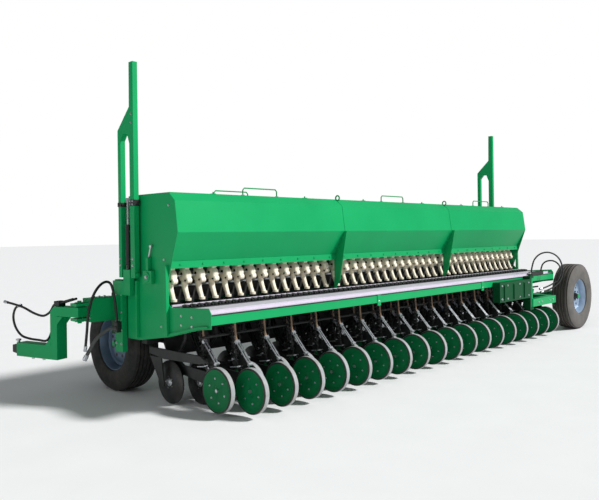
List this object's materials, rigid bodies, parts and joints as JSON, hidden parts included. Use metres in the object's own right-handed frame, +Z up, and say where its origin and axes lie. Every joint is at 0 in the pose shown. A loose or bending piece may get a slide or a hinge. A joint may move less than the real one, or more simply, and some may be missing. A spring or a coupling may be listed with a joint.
{
  "type": "seed drill",
  "caption": "Trailed mechanical seed drill with a sectioned hopper, disc openers, press wheels, folding markers, end-tow drawbar and a swing-out transport wheel.",
  "frame": {"origin": "centre of the whole machine's bounding box, on the ground", "axes": "+X along the hopper to the machine's right, +Y forward, +Z up"},
  "size_m": [8.5408, 2.7878, 3.18],
  "materials": {
    "green_paint": "semi-gloss",
    "dark_green_paint": "semi-gloss",
    "black_paint": "satin",
    "press_wheel": "satin",
    "tyre": "matte",
    "rim": "satin",
    "steel": "polished",
    "deck": "satin",
    "meter_plastic": "matte",
    "hose": "satin"
  },
  "bodies": {
    "frame": {"drawbar_bracket": "green_paint", "front_beam": "green_paint", "front_openers": "black_paint", "hopper_left": "green_paint", "hopper_middle": "green_paint", "hopper_right": "green_paint", "left_end_plate": "green_paint", "left_hoses": "hose", "left_inner_support": "green_paint", "left_marker_cylinder": "steel", "left_marker_post": "green_paint", "left_side_rail": "dark_green_paint", "platform": "deck", "rear_openers": "black_paint", "rear_tube": "green_paint", "right_end_plate": "green_paint", "right_inner_support": "green_paint", "right_marker_cylinder": "steel", "right_marker_post": "green_paint", "right_side_rail": "dark_green_paint", "seed_meters_left": "meter_plastic", "seed_meters_middle": "meter_plastic", "seed_meters_right": "meter_plastic", "transport_bracket": "dark_green_paint", "transport_hoses": "hose"},
    "lid_left": {"lid_left": "green_paint"},
    "lid_middle": {"lid_middle": "green_paint"},
    "lid_right": {"lid_right": "green_paint"},
    "left_marker": {"left_marker": "green_paint"},
    "right_marker": {"right_marker": "green_paint"},
    "drawbar": {"drawbar": "green_paint", "tow_hitch": "black_paint", "drawbar_hoses": "hose"},
    "left_wheel_arm": {"left_wheel_arm": "green_paint"},
    "right_wheel_arm": {"right_wheel_arm": "green_paint"},
    "left_field_wheel": {"left_field_tyre": "tyre", "left_field_rim": "rim"},
    "right_field_wheel": {"right_field_tyre": "tyre", "right_field_rim": "rim"},
    "transport_arm": {"transport_arm": "green_paint"},
    "transport_wheel": {"transport_tyre": "tyre", "transport_rim": "rim"},
    "front_press_wheels": {"front_press_wheels": "press_wheel"},
    "rear_press_wheels": {"rear_press_wheels": "press_wheel"},
    "front_opener_discs": {"front_opener_discs": "black_paint"},
    "rear_opener_discs": {"rear_opener_discs": "black_paint"}
  },
  "joints": [
    {"name": "drawbar_swing", "type": "hinge", "parent": "frame", "child": "drawbar", "pos_m": [-3.9401, 0.4274, 0.915], "axis": [0, 0, 1], "range_deg": [-16, 74]},
    {"name": "left_marker_fold", "type": "hinge", "parent": "frame", "child": "left_marker", "pos_m": [-3.6151, 0.1974, 1.22], "axis": [0, -1, 0], "range_deg": [0, 92]},
    {"name": "right_marker_fold", "type": "hinge", "parent": "frame", "child": "right_marker", "pos_m": [3.2249, 0.1974, 1.22], "axis": [0, 1, 0], "range_deg": [0, 92]},
    {"name": "transport_swing", "type": "hinge", "parent": "frame", "child": "transport_arm", "pos_m": [2.2249, -1.1226, 0.5875], "axis": [0, 0, 1], "range_deg": [-90, 0]},
    {"name": "lid_left_hinge", "type": "hinge", "parent": "frame", "child": "lid_left", "pos_m": [-2.4401, 0.1614, 1.958], "axis": [-1, 0, 0], "range_deg": [0, 100]},
    {"name": "lid_middle_hinge", "type": "hinge", "parent": "frame", "child": "lid_middle", "pos_m": [-0.1951, 0.1614, 1.958], "axis": [-1, 0, 0], "range_deg": [0, 100]},
    {"name": "lid_right_hinge", "type": "hinge", "parent": "frame", "child": "lid_right", "pos_m": [2.0499, 0.1614, 1.958], "axis": [-1, 0, 0], "range_deg": [0, 100]},
    {"name": "left_wheel_lift", "type": "hinge", "parent": "frame", "child": "left_wheel_arm", "pos_m": [-3.0351, 0.1774, 0.82], "axis": [-1, 0, 0], "range_deg": [0, 18]},
    {"name": "right_wheel_lift", "type": "hinge", "parent": "frame", "child": "right_wheel_arm", "pos_m": [2.6449, 0.1774, 0.82], "axis": [-1, 0, 0], "range_deg": [0, 18]},
    {"name": "left_field_wheel_spin", "type": "hinge", "parent": "left_wheel_arm", "child": "left_field_wheel", "pos_m": [-3.3251, 0.7074, 0.47837], "axis": [1, 0, 0], "continuous": true},
    {"name": "right_field_wheel_spin", "type": "hinge", "parent": "right_wheel_arm", "child": "right_field_wheel", "pos_m": [2.9349, 0.7074, 0.47837], "axis": [1, 0, 0], "continuous": true},
    {"name": "transport_wheel_spin", "type": "hinge", "parent": "transport_arm", "child": "transport_wheel", "pos_m": [3.7549, -1.1326, 0.52055], "axis": [0, 1, 0], "continuous": true},
    {"name": "front_press_wheels_spin", "type": "hinge", "parent": "frame", "child": "front_press_wheels", "pos_m": [-0.1951, -0.8776, 0.23319], "axis": [1, 0, 0], "continuous": true},
    {"name": "front_opener_discs_spin", "type": "hinge", "parent": "frame", "child": "front_opener_discs", "pos_m": [-0.1951, -0.1726, 0.20284], "axis": [1, 0, 0], "continuous": true},
    {"name": "rear_press_wheels_spin", "type": "hinge", "parent": "frame", "child": "rear_press_wheels", "pos_m": [-0.1951, -1.1126, 0.23319], "axis": [1, 0, 0], "continuous": true},
    {"name": "rear_opener_discs_spin", "type": "hinge", "parent": "frame", "child": "rear_opener_discs", "pos_m": [-0.1951, -0.4076, 0.20284], "axis": [1, 0, 0], "continuous": true}
  ]
}
